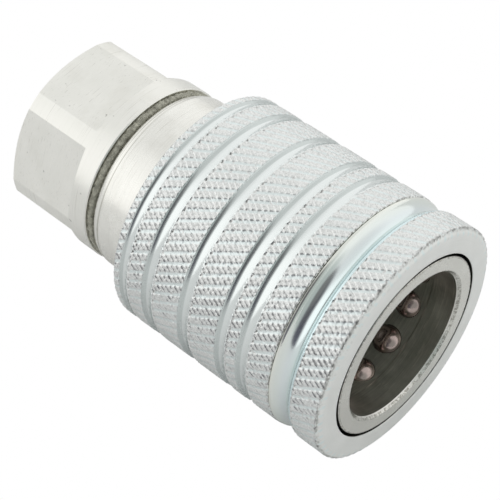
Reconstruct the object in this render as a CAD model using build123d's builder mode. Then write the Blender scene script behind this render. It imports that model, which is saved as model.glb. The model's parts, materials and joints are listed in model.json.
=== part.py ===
from build123d import *
import os
from math import sin, cos, radians, pi, hypot, atan2, degrees

os.makedirs("parts", exist_ok=True)

# Female half of a 1/2 inch push-pull quick disconnect coupler.
# Millimetres. X is the coupler axis and points out of the mouth, Z is up, and the
# origin is the centre of the mating face. The coupler lies on its knurled sleeve.

# ---- mating socket ----
bore_r = 11.9                 # mouth bore for the 23.7 mm male collar
mouth_chamfer_r = 12.3        # lead-in at the mating face
mouth_chamfer_x = -0.5
lip_end_x = -4.6              # the plain guiding lip ends in front of the balls
ball_track_r = 12.07          # bore relieved a little around the balls
track_end_x = -10.4
nose_bore_r = 10.35           # bore for the 20.5 mm male nose
nose_bore_x = -12.05
nose_floor_x = -20.2          # floor around the valve seat
body_nose_r = 14.58           # outside of the socket, seen at the mating face

# ---- locking balls ----
ball_count = 12
ball_d = 4.762
ball_x = -7.65
ball_rest_r = 12.93           # centre of a locked ball, from the coupler axis
ball_travel = 1.38            # how far a ball moves out
ball_hole_r = 2.44            # round-bottomed, so its mouth in the bore keeps the ball in

# ---- sleeve ----
sleeve_r = 19.0
sleeve_face_r = 18.1
sleeve_mouth_r = 15.06
sleeve_rear_x = -39.15
seam_x = -9.0                 # joint between the front ring and the rear sleeve
release_stroke = 3.6          # the sleeve pulls back this far to free the balls
lock_land_r = 15.34
pocket_r = 16.76              # release pocket, where the balls go when they are freed
spigot_in_r = 15.65
chamber_r = 16.9              # spring chamber inside the sleeve
front_shoulder_x = -15.4
rear_shoulder_x = -34.6
rear_relief_r = 15.65
rear_lip_r = 15.0             # guide lip at the rear end of the sleeve
rear_lip_x = -38.2
cove_front_x, cove_rear_x = -5.3, -8.55      # polished groove for a dust cap ring
cove_depth = 1.1
# shallow round grooves between the knurled bands: centre and width, quarter arcs in section
grip_grooves = [(-14.1, 2.1), (-18.1, 2.0), (-25.2, 2.1), (-32.25, 2.1), (-36.95, 1.6)]

# ---- outside of the fixed rear end ----
body_rear_r = 14.85
body_rear_x = -48.0
gasket_r = 14.4
gasket_front_x = -48.1
gasket_rear_x = -49.15
collar_r = 14.82
hex_front_x = -52.8
hex_af = 27.0
hex_rear_x = -65.8
hex_roll = 7.1                # degrees the hexagon is turned on the axis
port_r = 9.3                  # minor radius of the G1/2 female thread
port_depth = 15.0
thread_joint_r = 12.5         # screwed joint between body and adaptor

# ---- valve ----
seat_bore_r = 7.65
seat_cone_x = -23.2
chamber_front_x = -26.4
valve_chamber_r = 10.9
guide_step_x = -36.0
guide_t = 2.2
poppet_travel = 5.5
stem_r = 2.5
stem_hole_r = 2.56

# ---- springs ----
sleeve_spring_wire = 1.3
sleeve_spring_r = 15.72
sleeve_spring_turns = 7.0
poppet_spring_wire = 1.2
poppet_spring_r = 5.2
poppet_spring_turns = 5.0


def turn(outline, mode=Mode.ADD):
    """Revolve a closed (x, r) outline about the coupler axis."""
    with BuildSketch(Plane.XZ) as section:
        with BuildLine():
            Polyline(*outline, close=True)
        make_face()
    revolve(section.sketch, axis=Axis.X, mode=mode)


def turn_round(x, r, radius, mode=Mode.ADD):
    """A ring of round section about the coupler axis."""
    with BuildSketch(Plane.XZ) as section:
        with Locations((x, r)):
            Circle(radius)
    revolve(section.sketch, axis=Axis.X, mode=mode)


def radial_plane(angle, x=0.0):
    """Plane through the axis at x that looks outwards; angle from +Z towards -Y."""
    a = radians(angle)
    return Plane(origin=(x, 0, 0), x_dir=(1, 0, 0), z_dir=(0, -sin(a), cos(a)))


def save(part, name):
    part.label = name
    export_step(part, "parts/" + name + ".step")


# ---- socket body: bore, ball holes, O-ring groove, valve seat, spring ring grooves ----
oring_front_x, oring_rear_x, oring_groove_r = -14.2, -17.8, 12.6
stop_ring_t = 1.0
stop_groove_r = 13.85
front_stop_x = -15.22          # rear face of the front stop ring
rear_stop_x = -34.6            # front face of the rear stop ring

with BuildPart() as socket_body:
    turn([(0.0, mouth_chamfer_r), (0.0, body_nose_r - 0.1), (-0.1, body_nose_r),
          (front_stop_x + stop_ring_t, body_nose_r), (front_stop_x + stop_ring_t, stop_groove_r),
          (front_stop_x, stop_groove_r), (front_stop_x, body_nose_r),
          (rear_stop_x, body_nose_r), (rear_stop_x, stop_groove_r),
          (rear_stop_x - stop_ring_t, stop_groove_r), (rear_stop_x - stop_ring_t, body_nose_r),
          (rear_stop_x - 1.6, body_nose_r), (rear_stop_x - 1.9, body_rear_r),
          (body_rear_x + 1.5, body_rear_r), (body_rear_x + 0.95, body_rear_r - 0.12),
          (body_rear_x + 0.5, body_rear_r - 0.3), (body_rear_x + 0.15, body_rear_r - 0.6),
          (body_rear_x, body_rear_r - 0.95), (body_rear_x, thread_joint_r + 0.5),
          (body_rear_x + 0.5, thread_joint_r), (guide_step_x, thread_joint_r),
          (guide_step_x, valve_chamber_r), (chamber_front_x, valve_chamber_r),
          (seat_cone_x, seat_bore_r), (nose_floor_x, seat_bore_r),
          (nose_floor_x, nose_bore_r), (oring_rear_x, nose_bore_r),
          (oring_rear_x, oring_groove_r), (oring_front_x, oring_groove_r),
          (oring_front_x, nose_bore_r), (nose_bore_x, nose_bore_r),
          (track_end_x, ball_track_r), (lip_end_x - 0.25, ball_track_r), (lip_end_x, bore_r),
          (mouth_chamfer_x, bore_r)])
    for i in range(ball_count):
        hole_plane = radial_plane(i * 360 / ball_count, ball_x).offset(ball_rest_r)
        with BuildSketch(hole_plane):
            Circle(ball_hole_r)
        extrude(amount=4, mode=Mode.SUBTRACT)
        with Locations(hole_plane):
            Sphere(ball_hole_r, mode=Mode.SUBTRACT)
save(socket_body.part, "socket_body")

# ---- locking balls, one steel ball in each radial hole ----
for i in range(ball_count):
    a = radians(i * 360 / ball_count)
    with BuildPart() as locking_ball:
        with Locations((ball_x, -ball_rest_r * sin(a), ball_rest_r * cos(a))):
            Sphere(ball_d / 2)
    save(locking_ball.part, "locking_ball_%02d" % (i + 1))

# ---- front sleeve ring: knurled band, cap groove, release pocket, spigot ----
with BuildPart() as sleeve_front:
    turn([(0.0, sleeve_mouth_r + 0.06), (0.0, sleeve_face_r), (-0.6, sleeve_r),
          (seam_x + 0.1, sleeve_r), (seam_x, sleeve_r - 0.1), (seam_x, chamber_r),
          (front_shoulder_x, chamber_r), (front_shoulder_x, spigot_in_r),
          (seam_x - 1.4, spigot_in_r), (seam_x - 1.1, lock_land_r), (ball_x - 0.7, lock_land_r),
          (ball_x + 2.8, pocket_r), (-2.1, pocket_r), (-1.1, 15.9), (-1.1, sleeve_mouth_r),
          (-0.06, sleeve_mouth_r)])
    cove_half = (cove_front_x - cove_rear_x) / 2
    cove_radius = (cove_half ** 2 + cove_depth ** 2) / (2 * cove_depth)
    turn_round((cove_front_x + cove_rear_x) / 2, sleeve_r - cove_depth + cove_radius,
               cove_radius, mode=Mode.SUBTRACT)
save(sleeve_front.part, "sleeve_front_ring")

# ---- rear sleeve: knurled bands with round grooves, spring chamber, guide lip ----
with BuildPart() as sleeve_rear:
    turn([(seam_x, chamber_r), (seam_x, sleeve_r - 0.1), (seam_x - 0.1, sleeve_r),
          (sleeve_rear_x + 0.4, sleeve_r), (sleeve_rear_x, sleeve_r - 0.4),
          (sleeve_rear_x, rear_lip_r + 0.2), (sleeve_rear_x + 0.2, rear_lip_r),
          (rear_lip_x, rear_lip_r), (rear_lip_x + 0.65, rear_relief_r),
          (rear_shoulder_x, rear_relief_r), (rear_shoulder_x, chamber_r)])
    for groove_x, groove_w in grip_grooves:
        turn_round(groove_x, sleeve_r + groove_w / 2, groove_w / 2 ** 0.5, mode=Mode.SUBTRACT)
save(sleeve_rear.part, "sleeve_rear")

# ---- washers and stop rings of the sleeve spring ----
washer_in_r, washer_out_r, washer_t = 14.72, 16.75, 1.0

with BuildPart() as front_washer:
    turn([(front_shoulder_x - 0.1, washer_in_r), (front_shoulder_x - 0.1, washer_out_r),
          (front_shoulder_x - 0.1 - washer_t, washer_out_r),
          (front_shoulder_x - 0.1 - washer_t, washer_in_r)])
save(front_washer.part, "front_spring_washer")

with BuildPart() as rear_washer:
    turn([(rear_stop_x, body_nose_r), (rear_stop_x, washer_out_r),
          (rear_stop_x + washer_t, washer_out_r), (rear_stop_x + washer_t, body_nose_r)])
save(rear_washer.part, "rear_spring_washer")


def stop_ring(front_x, gap_angle):
    """Open retaining ring seated in its groove on the body."""
    turn([(front_x, stop_groove_r), (front_x, 15.28), (front_x - stop_ring_t, 15.28),
          (front_x - stop_ring_t, stop_groove_r)])
    with BuildSketch(radial_plane(gap_angle, front_x - stop_ring_t / 2)) as gap:
        Rectangle(stop_ring_t * 2, 2.4)
    extrude(gap.sketch, amount=20, mode=Mode.SUBTRACT)


with BuildPart() as front_stop:
    stop_ring(front_stop_x + stop_ring_t, 60)
save(front_stop.part, "front_stop_ring")

with BuildPart() as rear_stop:
    stop_ring(rear_stop_x, 200)
save(rear_stop.part, "rear_stop_ring")


def coil(x_front, x_rear, mean_r, wire, turns):
    """Open helical wire between two end planes, with one flat closing turn at each end."""
    length = x_front - x_rear - wire
    with BuildPart() as coil_part:
        with BuildLine() as path:
            Helix(pitch=length / turns, height=length, radius=mean_r,
                  center=(x_rear + wire / 2, 0, 0), direction=(1, 0, 0))
        with BuildSketch(Plane(origin=path.line @ 0, z_dir=path.line % 0)):
            Circle(wire / 2)
        sweep(path=path.line, is_frenet=True)
    return coil_part.part


# ---- springs, drawn closed (sleeve forward, valve shut) ----
sleeve_spring = coil(front_shoulder_x - 0.15 - washer_t, rear_stop_x + washer_t + 0.05,
                     sleeve_spring_r, sleeve_spring_wire, sleeve_spring_turns)
save(sleeve_spring, "sleeve_spring")

# ---- socket seal: O-ring and backup ring in the nose bore groove ----
with BuildPart() as socket_oring:
    turn_round(-15.5, oring_groove_r - 1.2, 1.2)
save(socket_oring.part, "socket_oring")

with BuildPart() as backup_ring:
    turn([(-16.75, nose_bore_r + 0.1), (-16.75, oring_groove_r), (oring_rear_x, oring_groove_r),
          (oring_rear_x, nose_bore_r + 0.1)])
save(backup_ring.part, "socket_backup_ring")

# ---- poppet: nose, O-ring groove, cone, stem ----
with BuildPart() as poppet:
    turn([(-17.6, 0), (-17.6, 6.3), (-18.3, 7.0), (-19.6, 7.0), (-20.6, 7.5), (-21.0, 7.5),
          (-21.0, 6.0), (-22.7, 6.0), (-22.7, 7.5), (-23.35, 7.5), (-26.2, 10.35),
          (-27.4, 10.35), (-27.9, 9.85), (-27.9, 3.9), (-28.9, 3.5), (-29.35, 3.05),
          (-29.35, stem_r), (-42.2, stem_r), (-42.6, 2.1), (-42.6, 0)])
    with BuildSketch(Plane.YZ.offset(-17.6)):
        Circle(4.2)
    extrude(amount=-0.4, mode=Mode.SUBTRACT)
save(poppet.part, "poppet")

with BuildPart() as poppet_oring:
    turn_round(-21.85, 6.8, 0.8)
save(poppet_oring.part, "poppet_oring")

# ---- poppet guide: ring, three legs and a hub that carries the stem ----
with BuildPart() as poppet_guide:
    turn([(guide_step_x, 9.6), (guide_step_x, thread_joint_r - 0.05),
          (guide_step_x - guide_t, thread_joint_r - 0.05), (guide_step_x - guide_t, 9.6)])
    turn([(guide_step_x + 1.0, stem_hole_r), (guide_step_x + 1.0, 3.9), (guide_step_x, 3.9),
          (guide_step_x, 6.2), (guide_step_x - guide_t, 6.2), (guide_step_x - 4.6, 4.2),
          (guide_step_x - 4.6, stem_hole_r)])
    for leg_angle in (0, 120, 240):
        with BuildSketch(radial_plane(leg_angle, guide_step_x - guide_t / 2).offset(5.0)):
            Rectangle(guide_t, 2.6)
        extrude(amount=5.0)
save(poppet_guide.part, "poppet_guide")

poppet_spring = coil(-27.95, guide_step_x + 0.05, poppet_spring_r, poppet_spring_wire,
                     poppet_spring_turns)
save(poppet_spring, "poppet_spring")

# ---- rear adaptor: threaded spigot, collar, hexagon, G1/2 female port ----
spigot_front_x = guide_step_x - guide_t
adaptor_groove_x, adaptor_groove_w, adaptor_groove_r = -45.2, 2.0, 11.0
with BuildPart() as adaptor:
    turn([(spigot_front_x, 9.6), (spigot_front_x, thread_joint_r - 0.4),
          (spigot_front_x - 0.4, thread_joint_r),
          (adaptor_groove_x + adaptor_groove_w / 2, thread_joint_r),
          (adaptor_groove_x + adaptor_groove_w / 2, adaptor_groove_r),
          (adaptor_groove_x - adaptor_groove_w / 2, adaptor_groove_r),
          (adaptor_groove_x - adaptor_groove_w / 2, thread_joint_r),
          (gasket_rear_x, thread_joint_r), (gasket_rear_x, collar_r - 0.15),
          (gasket_rear_x - 0.15, collar_r), (hex_rear_x + 0.85, collar_r),
          (hex_rear_x, collar_r - 1.4), (hex_rear_x, port_r + 0.95),
          (hex_rear_x + 0.95, port_r), (hex_rear_x + port_depth, port_r),
          (hex_rear_x + port_depth + 1.2, 8.1), (-43.0, 8.1), (-41.0, 9.6)])
    for i in range(6):
        flat_plane = radial_plane(hex_roll + 60 * i, 0)
        with BuildSketch(Plane(origin=(0, 0, 0), x_dir=(1, 0, 0),
                               z_dir=flat_plane.y_dir)):
            with BuildLine():
                Polyline((hex_rear_x - 1, hex_af / 2), (hex_front_x, hex_af / 2),
                         (hex_front_x + 0.75, hex_af / 2 + 2.2),
                         (hex_rear_x - 1, hex_af / 2 + 2.2), close=True)
            make_face()
        extrude(amount=10, both=True, mode=Mode.SUBTRACT)
save(adaptor.part, "hex_adaptor")

with BuildPart() as joint_gasket:
    turn([(gasket_front_x, thread_joint_r + 0.05), (gasket_front_x, gasket_r),
          (gasket_rear_x, gasket_r), (gasket_rear_x, thread_joint_r + 0.05)])
save(joint_gasket.part, "joint_gasket")

with BuildPart() as adaptor_oring:
    turn_round(adaptor_groove_x, adaptor_groove_r + 0.74, 0.74)
save(adaptor_oring.part, "adaptor_oring")
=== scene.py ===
import json
import math

import bpy
import numpy as np
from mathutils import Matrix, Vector


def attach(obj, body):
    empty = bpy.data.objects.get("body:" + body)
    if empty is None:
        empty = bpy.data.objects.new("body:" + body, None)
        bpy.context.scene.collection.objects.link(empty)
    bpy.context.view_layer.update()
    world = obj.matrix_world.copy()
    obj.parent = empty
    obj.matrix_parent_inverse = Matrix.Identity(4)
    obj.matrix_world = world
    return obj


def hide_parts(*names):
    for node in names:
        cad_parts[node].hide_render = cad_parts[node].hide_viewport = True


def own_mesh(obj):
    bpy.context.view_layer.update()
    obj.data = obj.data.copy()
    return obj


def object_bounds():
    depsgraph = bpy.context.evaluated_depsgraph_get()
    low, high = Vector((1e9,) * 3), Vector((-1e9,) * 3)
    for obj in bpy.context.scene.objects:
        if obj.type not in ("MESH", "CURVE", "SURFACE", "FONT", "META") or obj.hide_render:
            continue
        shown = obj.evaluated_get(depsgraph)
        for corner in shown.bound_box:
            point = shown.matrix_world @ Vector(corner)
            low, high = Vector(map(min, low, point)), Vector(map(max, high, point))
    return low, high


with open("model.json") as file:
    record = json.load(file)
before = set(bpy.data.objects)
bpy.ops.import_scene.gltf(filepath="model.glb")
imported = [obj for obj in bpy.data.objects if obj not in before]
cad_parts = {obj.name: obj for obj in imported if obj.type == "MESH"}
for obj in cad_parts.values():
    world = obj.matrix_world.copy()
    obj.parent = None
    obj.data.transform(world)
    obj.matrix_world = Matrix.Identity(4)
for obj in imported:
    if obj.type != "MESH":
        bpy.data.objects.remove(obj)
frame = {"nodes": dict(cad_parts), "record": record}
cad_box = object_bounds()

MM = 0.001

# ---------------------------------------------------------------- dimensions (mm)
# sleeve: X is the coupler axis and 0 is the mating face
SLEEVE_R = 19.0
FACE_R = 18.1                # flat front face
CHAMFER_LENGTH = 0.6         # from the front face back to the full radius
MOUTH_R = 15.06
LOCK_R = 15.34               # land that holds the balls in
POCKET_R = 16.76             # release pocket in front of the land
RELIEF_R = 15.65             # bore just past each end of the spring chamber
CHAMBER_R = 16.9             # spring chamber
LIP_R, LIP_X = 15.0, -38.2   # guide lip at the rear
BALL_X = -7.65               # centres of the locking balls
SEAM_X = -9.0                # joint of the front ring and the rear sleeve
FRONT_SHOULDER_X, REAR_SHOULDER_X = -15.4, -34.6
SLEEVE_REAR_X = -39.15
# polished groove for a cap ring
COVE_FRONT, COVE_REAR, COVE_DEPTH = -5.3, -8.55, 1.1
# shallow round grooves between the knurled bands: centre and width
GRIP_GROOVES = [(-14.1, 2.1), (-18.1, 2.0), (-25.2, 2.1), (-32.25, 2.1), (-36.95, 1.6)]
# rear edge of each knurled band
BAND_ENDS = [COVE_FRONT + 0.3] + [xc + w / 2 for xc, w in GRIP_GROOVES]

# knurl
KNURL_LINES = 138            # lines of each hand round the sleeve
KNURL_ANGLE = 30.0
FINE_DEPTH, FINE_HALF = 0.15, 0.20       # cut and half width of the fine lines
DEEP_DEPTH, DEEP_HALF = 0.11, 0.36       # every second line of the other hand
DEEP_WALL = 0.13             # width of the deep lines' sloping sides
SLIGHT_DEPTH, SLIGHT_HALF = 0.04, 0.14   # the lines between the deep ones
CROWN = 0.05                 # how much the bumps are rounded over
ROUGHNESS = 0.055            # small random height over the whole knurl
PIT_DEPTH = 0.14             # torn pits at the rear edge of each band
BURR = 0.08                  # how far the knurl stands above the front chamfer
WEAR_CELL, WEAR_ROUND = 0.8, 150         # patches of wear: length, and number round the sleeve
MICRO_CELL, MICRO_ROUND = 0.28, 430      # fine roughness, the same
ROW_STEP = 0.11              # mesh rows along the sleeve
GROOVE_ROWS = 16             # mesh rows across a groove
SEGMENTS = KNURL_LINES * 9   # mesh columns round the sleeve

# body and rear end
BORE_R = 12.42               # edge of the mouth bore
NOSE_R = 14.58               # outside of the socket at the mating face
BODY_REAR_X = -48.0
PORT_R = 9.4                 # just outside the wall of the rear port
THREAD_PITCH = 1.814         # thread of the rear port
GASKET_SEGMENTS = 720

# springs: fixed end, free end and how far the free end moves
SLEEVE_SPRING = (-33.6, -16.55, 3.6)
POPPET_SPRING = (-36.0, -27.95, 5.5)


# ---------------------------------------------------------------- mesh helpers
def smooth_noise(shape, cells, seed):
    """Periodic (second axis) value noise with the given number of cells."""
    r = np.random.default_rng(seed)
    grid = r.random((cells[0] + 2, cells[1]))
    u = np.linspace(0, cells[0], shape[0])[:, None]
    v = (np.arange(shape[1]) / shape[1] * cells[1])[None, :]
    iu, iv = np.floor(u).astype(int), np.floor(v).astype(int)
    fu, fv = u - iu, v - iv
    fu, fv = fu * fu * (3 - 2 * fu), fv * fv * (3 - 2 * fv)
    iu = np.minimum(iu, cells[0])
    j0, j1 = iv % cells[1], (iv + 1) % cells[1]
    a = grid[iu, j0] * (1 - fv) + grid[iu, j1] * fv
    b = grid[iu + 1, j0] * (1 - fv) + grid[iu + 1, j1] * fv
    return a * (1 - fu) + b * fu - 0.5


def ring_mesh(name, x, r, sharp, grime_and_shade=None):
    """Closed ring about the X axis: x and r are (rows, columns) in mm, rows close on themselves."""
    rows, cols = r.shape
    t = np.arange(cols) / cols * 2 * math.pi
    y, z = -r * np.sin(t), r * np.cos(t)
    co = np.stack([np.broadcast_to(x, r.shape), y, z], -1).reshape(-1, 3) * MM
    i = np.arange(rows)[:, None]
    j = np.arange(cols)[None, :]
    i1, j1 = (i + 1) % rows, (j + 1) % cols
    quads = np.stack([i * cols + j, i * cols + j1, i1 * cols + j1, i1 * cols + j], -1)
    quads = np.broadcast_to(quads, (rows, cols, 4)).reshape(-1, 4)
    p = co.reshape(rows, cols, 3)
    a, b, c = p, np.roll(p, -1, 1), np.roll(p, -1, 0)
    if (a * np.cross(b, c)).sum() < 0:
        quads = quads[:, ::-1]
    mesh = bpy.data.meshes.new(name)
    mesh.vertices.add(len(co))
    mesh.vertices.foreach_set("co", co.astype(np.float32).ravel())
    mesh.loops.add(quads.size)
    mesh.loops.foreach_set("vertex_index", quads.astype(np.int32).ravel())
    mesh.polygons.add(len(quads))
    mesh.polygons.foreach_set("loop_start", np.arange(0, quads.size, 4, dtype=np.int32))
    mesh.update(calc_edges=True)
    mesh.set_sharp_from_angle(angle=math.radians(sharp))
    if grime_and_shade is not None:
        layer = mesh.attributes.new("grime_and_shade", "FLOAT", "POINT")
        layer.data.foreach_set("value", grime_and_shade.astype(np.float32).ravel())
    obj = bpy.data.objects.new(name, mesh)
    bpy.context.scene.collection.objects.link(obj)
    return obj


# ---------------------------------------------------------------- knurled sleeve
def bell(v, middle, width):
    """Bell curve of height 1."""
    return np.exp(-((v - middle) / width) ** 2)


def knurl_depth(x, cols):
    """How deep the cross knurl cuts below the crest, in mm, at rows x, and its tone.

    The tone is above 0 where dirt and painted shade sit, and below 0 on the burnished floor of the deep
    lines.
    """
    pitch = 2 * math.pi * SLEEVE_R / KNURL_LINES
    row = x[:, None]
    round_ = SLEEVE_R * (np.arange(cols) / cols * 2 * math.pi)[None, :]
    lean = row * math.tan(math.radians(KNURL_ANGLE))
    # distance from the nearest line of each hand
    a, b = (round_ - lean) / pitch, (round_ + lean) / pitch
    da = np.abs(a - np.round(a)) * pitch
    db = np.abs(b - np.round(b)) * pitch
    deep = np.mod(np.round(b), 2) < 0.5
    span = np.ptp(x)
    wear = smooth_noise((len(x), cols), (max(4, int(span / WEAR_CELL)), WEAR_ROUND), 11)
    micro = smooth_noise((len(x), cols), (max(4, int(span / MICRO_CELL)), MICRO_ROUND), 12)
    fine = np.clip(1 - da / FINE_HALF, 0, 1) ** 0.9 * FINE_DEPTH * (1 + 0.9 * wear)
    wide = np.clip((DEEP_HALF - db) / DEEP_WALL, 0, 1) * DEEP_DEPTH * (1 + 0.3 * wear)
    slight = np.clip(1 - db / SLIGHT_HALF, 0, 1) * SLIGHT_DEPTH * (1 + wear)
    crown = CROWN * (2 * da / pitch - 0.55) ** 2 * 2 + CROWN * np.where(deep, 1 - 2 * db / pitch, 0)
    cut = np.maximum(np.maximum(fine, np.where(deep, wide, slight)), np.clip(crown, 0, 1))
    cut = np.maximum(cut + ROUGHNESS * micro, 0)
    # torn pits where the deep lines end at the rear of a band
    ends = sum(bell(row, end + 0.12, 0.14) for end in BAND_ENDS)
    pit = ends * np.where(deep, bell(db, 0, 0.18), 0.3 * bell(db, 0, 0.14))
    pit = pit * np.clip(0.75 + 1.6 * wear, 0, 1.2)
    # dirt and painted shade where the knurl runs out at the front face and along the seam
    front = bell(row, -0.50, 0.18) * np.clip(0.45 + 1.2 * wear + 1.3 * micro, 0, 0.9)
    seam = bell(row, SEAM_X - 0.13, 0.10) * np.clip(0.35 + 2.4 * micro, 0, 0.9)
    # the torn pits, the run-outs and the seam get dirt mixed with painted shade
    dirt_and_shade = np.clip(0.85 * pit + front + seam + 0.7 * np.clip(micro - 0.26, 0, 1), 0, 1)
    burnished = np.where(deep, np.clip((DEEP_HALF - 0.05 - db) / 0.08, 0, 1), 0) * np.ones_like(cut)
    return cut + PIT_DEPTH * pit, np.where(dirt_and_shade > 0.05, dirt_and_shade, -burnished)


def outer_rows(x_front, x_rear, step):
    """Row positions along the sleeve, finer inside the round grooves."""
    xs = set(np.round(np.arange(x_rear, x_front, step), 4))
    for xc, w in GRIP_GROOVES:
        if x_rear < xc < x_front:
            xs = {v for v in xs if abs(v - xc) > w / 2 + 0.02}
            for k in range(GROOVE_ROWS + 1):
                turn = math.sin(math.pi * (k / GROOVE_ROWS - 0.5))
                xs.add(round(xc + (w / 2 + 0.01) * turn, 4))
    xs.add(x_front)
    xs.add(x_rear)
    return np.array(sorted(xs, reverse=True))


def arc(u, middle, radius, centre):
    """Lower side of a circle about (middle, centre)."""
    return centre - np.sqrt(radius ** 2 - (u - middle) ** 2)


def groove_floor(x):
    """Radius of the dished grooves at x, or a large value between them.

    Two tangent arcs: a long slope from the front edge, then a tighter rise to a small step at the rear.
    """
    r = np.full(len(x), 99.0)
    for xc, w in GRIP_GROOVES:
        inside = np.abs(x - xc) < w / 2
        u = (x[inside] - xc) / w
        # in groove widths: each arc's place along the sleeve, radius, and centre above the crest
        slope, rise = arc(u, -0.295, 1.5, 1.272), arc(np.minimum(u, 0), -0.142, 0.72, 0.507)
        dish = SLEEVE_R + w * np.where(u > 0, slope, rise)
        wall = SLEEVE_R - 5.0 * (x[inside] - (xc - w / 2))
        r[inside] = np.maximum(dish, wall)
    return r


def edge_round(x, edge_x, radius):
    """Drop of the crest at the front end of a band."""
    d = np.clip(np.abs(x - edge_x), 0, radius)
    return radius - np.sqrt(radius ** 2 - (radius - d) ** 2)


def stack(points):
    """Rows x and r of an outline, the same all the way round the sleeve."""
    x, r = np.array(points).T
    return x[:, None] * np.ones((1, SEGMENTS)), r[:, None] * np.ones((1, SEGMENTS))


def rear_sleeve():
    x = outer_rows(SEAM_X - 0.05, SLEEVE_REAR_X + 0.35, ROW_STEP)
    cut, grime_and_shade = knurl_depth(x, SEGMENTS)
    cut += edge_round(x, SEAM_X - 0.05, 0.2)[:, None]
    floor_r = groove_floor(x)[:, None]
    r = np.minimum(SLEEVE_R - cut, floor_r)
    grime_and_shade = np.where(floor_r < SLEEVE_R, 0, grime_and_shade)
    outer_x = x[:, None] * np.ones((1, SEGMENTS))
    inner = [(SLEEVE_REAR_X + 0.1, 18.62), (SLEEVE_REAR_X, 18.35), (SLEEVE_REAR_X, LIP_R + 0.25),
             (SLEEVE_REAR_X + 0.2, LIP_R + 0.02), (LIP_X, LIP_R), (LIP_X + 0.65, RELIEF_R),
             (REAR_SHOULDER_X, RELIEF_R), (REAR_SHOULDER_X, CHAMBER_R),
             (SEAM_X - 0.02, CHAMBER_R), (SEAM_X - 0.02, 18.6)]
    ix, ir = stack(inner)
    grime_and_shade = np.vstack([grime_and_shade, np.zeros_like(ir)])
    return ring_mesh("sleeve_rear_knurled", np.vstack([outer_x, ix]), np.vstack([r, ir]), 55, grime_and_shade)


def cove_outline():
    """Polished groove between the front band and the seam, a single arc in section."""
    half = (COVE_FRONT - COVE_REAR) / 2
    radius = (half ** 2 + COVE_DEPTH ** 2) / (2 * COVE_DEPTH)
    x = np.linspace(COVE_FRONT, COVE_REAR, 29)
    r = arc(x, COVE_FRONT - half, radius, SLEEVE_R - COVE_DEPTH + radius)
    return list(zip(x, np.minimum(r, 18.84)))


def front_ring():
    x = outer_rows(-0.45, COVE_FRONT + 0.32, ROW_STEP)
    cut, grime_and_shade = knurl_depth(x, SEGMENTS)
    r = SLEEVE_R - cut
    outer_x = x[:, None] * np.ones((1, SEGMENTS))
    # the knurl runs out over the front chamfer
    chamfer_x = np.array([0.0, -0.12, -0.24, -0.36])
    chamfer_cut, chamfer_grime_and_shade = knurl_depth(chamfer_x, SEGMENTS)
    slope = FACE_R + BURR - chamfer_x[:, None] / CHAMFER_LENGTH * (SLEEVE_R - FACE_R)
    chamfer_r = np.minimum(slope, SLEEVE_R - chamfer_cut)
    chamfer_r[0, :] = np.minimum(chamfer_r[0, :], FACE_R + 0.05)
    inner = [(COVE_FRONT + 0.25, 18.86), (COVE_FRONT + 0.06, 18.86), *cove_outline(),
             (COVE_REAR - 0.03, 18.86), (SEAM_X + 0.12, 18.88), (SEAM_X + 0.06, 18.8),
             (SEAM_X + 0.05, 18.5), (SEAM_X + 0.02, 18.4), (SEAM_X + 0.02, CHAMBER_R),
             (FRONT_SHOULDER_X, CHAMBER_R), (FRONT_SHOULDER_X, RELIEF_R), (-10.4, RELIEF_R),
             (-10.1, LOCK_R), (BALL_X - 0.7, LOCK_R), (BALL_X + 2.8, POCKET_R), (-2.1, POCKET_R),
             (-1.1, 15.9), (-1.1, MOUTH_R), (-0.06, MOUTH_R), (-0.02, MOUTH_R + 0.02),
             (0.0, MOUTH_R + 0.06), (0.0, 16.0), (0.0, 17.0), (0.0, 17.7)]
    ix, ir = stack(inner)
    xs = np.vstack([chamfer_x[:, None] * np.ones((1, SEGMENTS)), outer_x, ix])
    grime_and_shade = np.vstack([chamfer_grime_and_shade, grime_and_shade, np.zeros_like(ir)])
    return ring_mesh("sleeve_front_knurled", xs, np.vstack([chamfer_r, r, ir]), 55, grime_and_shade)


rear = rear_sleeve()
front = front_ring()
for piece, node in ((rear, "sleeve_rear"), (front, "sleeve_front_ring")):
    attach(piece, "sleeve")
    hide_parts(node)


# ---------------------------------------------------------------- rough gasket
def gasket():
    """Squeezed ring whose outer rows are uneven, on a coarse and a fine scale."""
    outline = [(-48.12, 12.6), (-48.10, 14.25), (-48.25, 14.42), (-48.6, 14.45), (-49.0, 14.45),
               (-49.13, 14.3), (-49.14, 13.4), (-49.14, 12.6), (-48.6, 12.55)]
    shape = (len(outline), GASKET_SEGMENTS)
    x, r = (np.array(v)[:, None] * np.ones(shape) for v in zip(*outline))
    rough = smooth_noise(shape, (3, 160), 3) * 0.22 + smooth_noise(shape, (8, 420), 4) * 0.20
    r[1:7] += rough[1:7]
    return ring_mesh("joint_gasket_rough", x, np.minimum(r, 14.6), 60)


seal = gasket()
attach(seal, "coupler_body")
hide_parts("joint_gasket")


# ---------------------------------------------------------------- springs
def short_spring(node, body, joint, fixed_x, free_x, travel):
    """A copy of the drawn spring, attached to its body in place of the drawn one."""
    piece = frame["nodes"][node].copy()
    piece.data = piece.data.copy()
    piece.name = node + "_coil"
    bpy.context.scene.collection.objects.link(piece)
    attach(piece, body)
    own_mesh(piece)
    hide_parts(node)
    return piece


springs = [short_spring("sleeve_spring", "coupler_body", "sleeve_slide", *SLEEVE_SPRING),
           short_spring("poppet_spring", "coupler_body", "poppet_slide", *POPPET_SPRING)]


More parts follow.
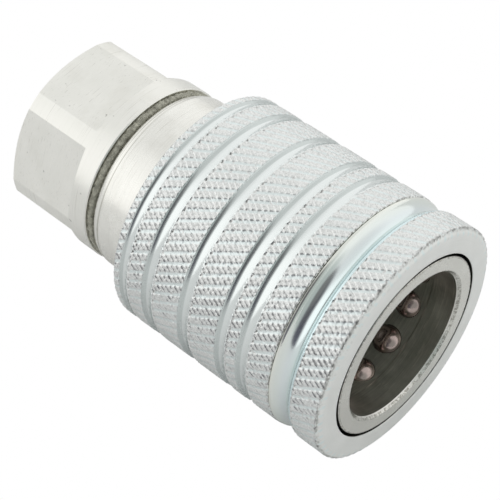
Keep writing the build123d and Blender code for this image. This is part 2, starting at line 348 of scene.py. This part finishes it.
# ---------------------------------------------------------------- materials
class Nodes:
    """Small helper that builds a node tree."""

    def __init__(self, tree):
        self.tree = tree
        self.tree.nodes.clear()

    def add(self, kind, **values):
        n = self.tree.nodes.new(kind)
        for k, v in values.items():
            setattr(n, k, v)
        return n

    def link(self, a, b):
        self.tree.links.new(a, b)

    def math(self, op, a, b=None, clamp=False):
        n = self.add("ShaderNodeMath", operation=op, use_clamp=clamp)
        for i, v in enumerate((a, b)):
            if v is None:
                continue
            if isinstance(v, (int, float)):
                n.inputs[i].default_value = v
            else:
                self.link(v, n.inputs[i])
        return n.outputs[0]

    def times(self, a, b, clamp=False):
        return self.math("MULTIPLY", a, b, clamp)

    def plus(self, a, b):
        return self.math("ADD", a, b)

    def minus(self, a, b):
        return self.math("SUBTRACT", a, b)

    def ramp(self, fac, stops):
        n = self.add("ShaderNodeValToRGB")
        e = n.color_ramp.elements
        while len(e) < len(stops):
            e.new(0.5)
        for el, (pos, col) in zip(e, stops):
            el.position = pos
            el.color = (*col, 1) if len(col) == 3 else col
        self.link(fac, n.inputs[0])
        return n.outputs[0]

    def noise(self, vector, scale, detail=4.0, rough=0.55):
        n = self.add("ShaderNodeTexNoise")
        n.inputs["Scale"].default_value = scale
        n.inputs["Detail"].default_value = detail
        n.inputs["Roughness"].default_value = rough
        self.link(vector, n.inputs["Vector"])
        return n.outputs["Fac"]

    def mix(self, fac, a, b):
        n = self.add("ShaderNodeMix", data_type="RGBA")
        if isinstance(fac, (int, float)):
            n.inputs[0].default_value = fac
        else:
            self.link(fac, n.inputs[0])
        for sock, v in ((n.inputs[6], a), (n.inputs[7], b)):
            if isinstance(v, tuple):
                sock.default_value = (*v, 1)
            else:
                self.link(v, sock)
        return n.outputs[2]


def grey(v):
    return (v, v, v)


def turned(nd):
    """Object coordinates, and x, radius in mm and the angle round the axis."""
    place = nd.add("ShaderNodeTexCoord").outputs["Object"]
    sep = nd.add("ShaderNodeSeparateXYZ")
    nd.link(place, sep.inputs[0])
    x, y, z = (nd.times(axis, 1000.0) for axis in sep.outputs)
    r = nd.math("SQRT", nd.plus(nd.times(y, y), nd.times(z, z)))
    return place, x, r, nd.math("ARCTAN2", y, z)


def stretched(nd, x, r, a, along, out, round_):
    """Noise coordinates with a scale of their own along the axis, outwards and round it."""
    n = nd.add("ShaderNodeCombineXYZ")
    for i, (v, scale) in enumerate(((x, along), (r, out), (a, round_))):
        nd.link(nd.times(v, scale), n.inputs[i])
    return n.outputs[0]


def between(nd, v, lo, hi, soft):
    """1 where lo < v < hi, with soft edges."""
    sides = []
    for edge, start, end in ((lo, 0.0, 1.0), (hi, 1.0, 0.0)):
        n = nd.add("ShaderNodeMapRange", interpolation_type="SMOOTHSTEP")
        nd.link(v, n.inputs[0])
        for i, value in enumerate((edge - soft, edge + soft, start, end), 1):
            n.inputs[i].default_value = value
        sides.append(n.outputs[0])
    return nd.times(*sides)


def bump(nd, height, strength, distance, normal=None):
    n = nd.add("ShaderNodeBump")
    n.inputs["Strength"].default_value = strength
    n.inputs["Distance"].default_value = distance
    nd.link(height, n.inputs["Height"])
    if normal is not None:
        nd.link(normal, n.inputs["Normal"])
    return n.outputs[0]


def metal(name, dark, light, rough_lo, rough_hi, marks=1.0, pits=0.0, zones=None, thread=False):
    """Turned steel: rings from the tool, soft mottling, fine grain and small pits."""
    mat = bpy.data.materials.new(name)
    mat.use_nodes = True
    nd = Nodes(mat.node_tree)
    place, x, r, a = turned(nd)
    out = nd.add("ShaderNodeOutputMaterial")
    bsdf = nd.add("ShaderNodeBsdfPrincipled")
    nd.link(bsdf.outputs[0], out.inputs[0])
    bsdf.inputs["Metallic"].default_value = 1.0
    rings = nd.noise(stretched(nd, x, r, a, 9.0, 9.0, 0.8), 1.0, 5.0, 0.6)
    mottle = nd.noise(place, 260.0, 4.0)
    grain = nd.noise(place, 4200.0, 3.0, 0.6)
    tone = nd.plus(nd.times(rings, 0.45), nd.times(mottle, 0.55))
    colour = nd.ramp(tone, [(0.32, dark), (0.68, light)])
    spot = nd.ramp(nd.noise(place, 900.0, 2.0, 0.5), [(0.72, grey(0)), (0.78, grey(1))])
    if pits:
        colour = nd.mix(nd.times(spot, pits), colour, tuple(c * 0.45 for c in dark))
    rough = nd.plus(nd.times(mottle, rough_hi - rough_lo), rough_lo)
    rough = nd.plus(rough, nd.times(nd.minus(grain, 0.5), 0.10))
    if zones:
        colour, rough = zones(nd, x, r, a, colour, rough, tone)
    nd.link(colour, bsdf.inputs["Base Color"])
    nd.link(rough, bsdf.inputs["Roughness"])
    height = nd.plus(nd.times(rings, marks), nd.times(grain, 0.35))
    height = nd.minus(height, nd.times(spot, 1.2 if pits else 0.0))
    normal = bump(nd, height, 0.8, 0.00001)
    if thread:
        turns = nd.plus(nd.times(x, 1 / THREAD_PITCH), nd.times(a, 0.5 / math.pi))
        ridge = nd.math("PINGPONG", turns, 0.5)
        inside = nd.times(between(nd, r, 5.0, PORT_R, 0.03), between(nd, x, -64.6, -52.0, 0.3))
        normal = bump(nd, nd.times(ridge, inside), 1.0, 0.0016, normal)
    nd.link(normal, bsdf.inputs["Normal"])
    return mat


def sleeve_zones(nd, x, r, a, colour, rough, tone):
    # dull front face
    face = between(nd, x, -0.42, 1.0, 0.02)
    colour = nd.mix(face, colour, nd.ramp(tone, [(0.3, (0.85, 0.86, 0.84)), (0.7, (0.93, 0.935, 0.92))]))
    rough = nd.plus(rough, nd.times(face, 0.22))
    # smooth grooves, each with a duller strip on its rear rise whose colour is darkened as painted shade
    cove = between(nd, x, COVE_REAR - 0.45, COVE_FRONT + 0.3, 0.03)
    polished, rise = cove, 0.0
    for xc, w in GRIP_GROOVES:
        polished = nd.math("MAXIMUM", polished, between(nd, x, xc - w / 2, xc + w / 2, 0.04))
        rise = nd.plus(between(nd, x, xc - w / 2, xc - 0.19 * w, 0.13), rise)
    rough = nd.plus(nd.minus(rough, nd.times(polished, 0.16)), nd.times(rise, 0.10))
    colour = nd.mix(nd.times(polished, 0.7), colour, (0.80, 0.85, 0.85))
    # speckle, dirt with painted shade in the pits, run-outs and seam, and burnished lines of the knurl
    knurled = nd.times(between(nd, r, 18.65, 30.0, 0.05), nd.minus(1.0, polished))
    speckle = nd.noise(stretched(nd, x, r, a, 1.0, 1.0, 19.0), 4.6, 2.0, 0.6)
    speckle = nd.ramp(speckle, [(0.36, grey(0.38)), (0.56, grey(0.0))])
    colour = nd.mix(nd.times(knurled, speckle), colour, (0.42, 0.43, 0.42))
    mark = nd.add("ShaderNodeAttribute", attribute_name="grime_and_shade").outputs["Fac"]
    colour = nd.mix(nd.times(mark, -0.75, clamp=True), colour, (0.80, 0.88, 0.885))
    # dirt and painted shade from the knurl's pits, run-outs and seam
    colour = nd.mix(nd.times(mark, 0.85, clamp=True), colour, (0.10, 0.10, 0.09))
    # painted shade on the rear rise of each round groove
    colour = nd.mix(nd.times(rise, 0.55), colour, (0.48, 0.53, 0.52))
    # faint rainbow of the zinc passivation across the big groove
    across = nd.times(nd.minus(x, COVE_REAR - 0.5), 1 / (COVE_FRONT - COVE_REAR + 0.8))
    film = nd.ramp(across, [(0.0, (0.90, 0.90, 0.83)), (0.20, (0.82, 0.865, 0.835)),
                            (0.42, (0.79, 0.85, 0.865)), (0.62, (0.79, 0.88, 0.885)),
                            (0.9, (0.73, 0.865, 0.89))])
    colour = nd.mix(nd.times(cove, 0.95), colour, film)
    # painted shade: the inside of the sleeve, in the gap to the body, painted nearly black
    gap_shade = nd.times(between(nd, r, 0.0, 15.5, 0.05), between(nd, x, -60.0, -0.12, 0.05))
    colour = nd.mix(gap_shade, colour, (0.03, 0.027, 0.022))
    return colour, nd.math("MAXIMUM", nd.plus(rough, nd.times(gap_shade, 0.3)), 0.08)


def worn(nd, x, r, a, colour):
    """Faint stains, and fine scratches that run round the turned steel."""
    stain = nd.noise(stretched(nd, x, r, a, 1.0, 1.0, 14.0), 0.16, 5.0, 0.6)
    stain = nd.ramp(stain, [(0.50, grey(0)), (0.76, grey(0.26))])
    colour = nd.mix(stain, colour, (0.60, 0.58, 0.51))
    lines = nd.noise(stretched(nd, x, r, a, 7.0, 3.0, 1.3), 1.0, 3.0, 0.7)
    return nd.mix(nd.ramp(lines, [(0.62, grey(0)), (0.70, grey(0.45))]), colour, (0.42, 0.40, 0.35))


def rear_zones(nd, x, r, a, colour, rough, tone):
    """Worn hexagon and collar, with a darker port."""
    port = between(nd, r, -1.0, PORT_R, 0.05)
    colour = nd.mix(port, worn(nd, x, r, a, colour), (0.46, 0.455, 0.43))
    return colour, nd.plus(rough, nd.times(port, 0.12))


def body_zones(nd, x, r, a, colour, rough, tone):
    # worn rear with dark turning lines at its rim
    outside = nd.times(between(nd, x, -60.0, -38.5, 0.2), between(nd, r, 13.0, 30.0, 0.1))
    colour = nd.mix(outside, colour, worn(nd, x, r, a, colour))
    steps = nd.noise(stretched(nd, x, r, a, 4.5, 0.0, 0.35), 1.0, 2.0, 0.6)
    rim = nd.times(between(nd, x, BODY_REAR_X + 0.05, BODY_REAR_X + 1.7, 0.15), outside)
    rim = nd.times(rim, nd.ramp(steps, [(0.46, grey(0)), (0.56, grey(0.6))]))
    colour = nd.mix(rim, colour, (0.33, 0.32, 0.27))
    # the ring at the mating face, with dirt along both its edges
    ring = nd.times(between(nd, x, -0.5, 1.0, 0.03), 0.4)
    colour = nd.mix(ring, colour, (0.52, 0.52, 0.47))
    speck = nd.noise(stretched(nd, x, r, a, 1.0, 1.0, 14.0), 2.2, 3.0, 0.65)
    edge = nd.math("MAXIMUM", between(nd, r, 12.0, BORE_R, 0.05),
                   between(nd, r, NOSE_R - 0.26, NOSE_R + 0.12, 0.05))
    edge = nd.times(edge, between(nd, x, -0.5, 1.0, 0.05))
    edge = nd.times(edge, nd.ramp(speck, [(0.44, grey(0.1)), (0.62, grey(0.8))]))
    colour = nd.mix(edge, colour, (0.24, 0.23, 0.20))
    # unplated bore, darkened in part as painted shade of the recess, streaked round by the tool
    deep = nd.times(between(nd, r, -1.0, 12.9, 0.03), between(nd, x, -40.0, -0.55, 0.05))
    bare_and_shaded = nd.ramp(tone, [(0.3, (0.30, 0.305, 0.27)), (0.7, (0.66, 0.665, 0.60))])
    colour = nd.mix(deep, colour, bare_and_shaded)
    streak = nd.noise(stretched(nd, x, r, a, 3.2, 3.0, 3.0), 1.0, 5.0, 0.7)
    streak = nd.times(deep, nd.ramp(streak, [(0.52, grey(0)), (0.66, grey(0.6))]))
    colour = nd.mix(streak, colour, (0.72, 0.71, 0.64))
    # painted shade on the dull outside of the nose, under the sleeve
    gap_shade = nd.times(between(nd, r, 14.3, 14.7, 0.03), between(nd, x, -36.0, -0.10, 0.05))
    colour = nd.mix(gap_shade, colour, (0.20, 0.195, 0.175))
    return colour, nd.plus(rough, nd.times(nd.math("MAXIMUM", gap_shade, deep), 0.12))


zinc = metal("zinc_plating", (0.82, 0.83, 0.825), (0.90, 0.905, 0.895), 0.24, 0.40,
             marks=0.5, zones=sleeve_zones)
satin = metal("satin_plating", (0.85, 0.845, 0.80), (0.92, 0.91, 0.87), 0.25, 0.40,
              marks=0.5, pits=0.7, zones=rear_zones, thread=True)
socket = metal("socket_steel", (0.82, 0.81, 0.77), (0.95, 0.94, 0.90), 0.20, 0.32,
               marks=0.8, pits=0.35, zones=body_zones)
machined = metal("machined_steel", (0.42, 0.42, 0.41), (0.62, 0.62, 0.60), 0.25, 0.45, marks=1.0)
spring = metal("spring_wire", (0.25, 0.25, 0.26), (0.42, 0.42, 0.43), 0.30, 0.50, marks=0.2)
ball = metal("ball_steel", (0.34, 0.265, 0.245), (0.52, 0.43, 0.40), 0.08, 0.22, marks=0.02)


def soft_material(name, dark, light, rough, scale, depth):
    """Rubber or plastic, mottled and uneven by one noise."""
    mat = bpy.data.materials.new(name)
    mat.use_nodes = True
    nd = Nodes(mat.node_tree)
    out = nd.add("ShaderNodeOutputMaterial")
    bsdf = nd.add("ShaderNodeBsdfPrincipled")
    nd.link(bsdf.outputs[0], out.inputs[0])
    n = nd.noise(nd.add("ShaderNodeTexCoord").outputs["Object"], scale, 6.0, 0.65)
    nd.link(nd.ramp(n, [(0.3, dark), (0.7, light)]), bsdf.inputs["Base Color"])
    nd.link(nd.plus(nd.times(n, 0.3), rough - 0.15), bsdf.inputs["Roughness"])
    nd.link(bump(nd, n, 0.9, depth), bsdf.inputs["Normal"])
    return mat


nitrile = soft_material("nitrile", (0.012, 0.012, 0.012), (0.03, 0.03, 0.03), 0.5, 1500.0, 0.00002)
olive = soft_material("olive_rubber", (0.19, 0.185, 0.145), (0.66, 0.65, 0.54), 0.45, 1400.0, 0.00030)
ptfe = soft_material("ptfe", (0.72, 0.72, 0.70), (0.84, 0.84, 0.82), 0.45, 700.0, 0.00002)

by_slot = {"zinc_plated_steel": zinc, "nickel_plated_steel": satin, "machined_steel": machined,
           "spring_steel": spring, "ball_steel": ball, "seal_rubber": nitrile, "gasket_rubber": olive,
           "ptfe_ring": ptfe}
finishes = [(frame["nodes"][part["node"]], by_slot[part["material_slot"]])
            for part in frame["record"]["subparts"]]
finishes += [(frame["nodes"]["socket_body"], socket), (rear, zinc), (front, zinc), (seal, olive)]
finishes += [(coil, spring) for coil in springs]
for piece, mat in finishes:
    piece.data.materials.clear()
    piece.data.materials.append(mat)

# ---------------------------------------------------------------- floor, light, camera
FLOOR_HALF = 3.0
floor_z = cad_box[0][2]
floor_mesh = bpy.data.meshes.new("floor")
floor_mesh.from_pydata([(-FLOOR_HALF, -FLOOR_HALF, floor_z), (FLOOR_HALF, -FLOOR_HALF, floor_z),
                        (FLOOR_HALF, FLOOR_HALF, floor_z), (-FLOOR_HALF, FLOOR_HALF, floor_z)],
                       [], [(0, 1, 2, 3)])
floor = bpy.data.objects.new("floor", floor_mesh)
bpy.context.scene.collection.objects.link(floor)
pale = bpy.data.materials.new("pale_floor")
pale.use_nodes = True
nd = Nodes(pale.node_tree)
out = nd.add("ShaderNodeOutputMaterial")
diffuse = nd.add("ShaderNodeBsdfDiffuse")
diffuse.inputs[0].default_value = (0.96, 0.96, 0.96, 1)
# the camera sees the floor evenly white, and the object is lit by a diffuse one
glow = nd.add("ShaderNodeEmission")
glow.inputs[0].default_value = (1, 1, 1, 1)
glow.inputs[1].default_value = 1.0
rays = nd.add("ShaderNodeLightPath")
pick = nd.add("ShaderNodeMixShader")
nd.link(rays.outputs["Is Camera Ray"], pick.inputs[0])
nd.link(diffuse.outputs[0], pick.inputs[1])
nd.link(glow.outputs[0], pick.inputs[2])
nd.link(pick.outputs[0], out.inputs[0])
floor_mesh.materials.append(pale)

world = bpy.data.worlds.new("studio")
bpy.context.scene.world = world
world.use_nodes = True
nd = Nodes(world.node_tree)
out = nd.add("ShaderNodeOutputWorld")
back = nd.add("ShaderNodeBackground")
nd.link(back.outputs[0], out.inputs[0])
tc = nd.add("ShaderNodeTexCoord")


def patch(direction, inner, outer):
    """1 inside a cone of directions, fading to 0; angles in degrees."""
    n = nd.add("ShaderNodeVectorMath", operation="DOT_PRODUCT")
    nd.link(tc.outputs["Generated"], n.inputs[0])
    n.inputs[1].default_value = Vector(direction).normalized()
    m = nd.add("ShaderNodeMapRange", interpolation_type="SMOOTHSTEP")
    nd.link(n.outputs["Value"], m.inputs[0])
    m.inputs[1].default_value = math.cos(math.radians(outer))
    m.inputs[2].default_value = math.cos(math.radians(inner))
    return m.outputs[0]


def toward(azimuth, elevation):
    """Direction from the object: azimuth 0 is -Y, 90 is +X."""
    a, e = math.radians(azimuth), math.radians(elevation)
    return (math.sin(a) * math.cos(e), -math.cos(a) * math.cos(e), math.sin(e))


# a bright room, dimmer overhead, brightest low on the left, with dark screens in front and on the
# right: direction, angle of the even middle, angle of the outer edge, colour
STUDIO = [((0, 0, 1), 8, 62, (0.80, 0.81, 0.80)),
          (toward(-48, 12), 6, 52, (1.14, 1.145, 1.13)),
          (toward(62, 22), 14, 44, (0.47, 0.51, 0.50)),
          (toward(13, 13), 9, 37, (0.10, 0.10, 0.125)),
          (toward(18, 45), 10, 37, (0.11, 0.11, 0.12)),
          (toward(40, 50), 7, 26, (0.20, 0.20, 0.20))]
sky = (0.98, 0.985, 0.975)
for direction, inner, outer, tint in STUDIO:
    sky = nd.mix(patch(direction, inner, outer), sky, tint)
nd.link(sky, back.inputs[0])
back.inputs[1].default_value = 1.0

# camera: azimuth 0 looks along +Y, positive turns towards +X
cam_azimuth, cam_elevation = math.radians(42.39), math.radians(48.61)
cam_distance, cam_lens = 0.24, 119.72
aim = Vector((-0.02651, -0.003325, 0.002881))
back_dir = Vector((math.sin(cam_azimuth) * math.cos(cam_elevation),
                   -math.cos(cam_azimuth) * math.cos(cam_elevation), math.sin(cam_elevation)))
cam_data = bpy.data.cameras.new("camera")
cam_data.lens = cam_lens
cam_data.sensor_width = 36.0
cam_data.clip_start, cam_data.clip_end = 0.01, 20.0
cam = bpy.data.objects.new("camera", cam_data)
cam.rotation_mode = "QUATERNION"
cam.location = aim + back_dir * cam_distance
cam.rotation_quaternion = (-back_dir).to_track_quat("-Z", "Y")
bpy.context.scene.collection.objects.link(cam)
bpy.context.scene.camera = cam
bpy.context.scene.view_settings.view_transform = "Standard"
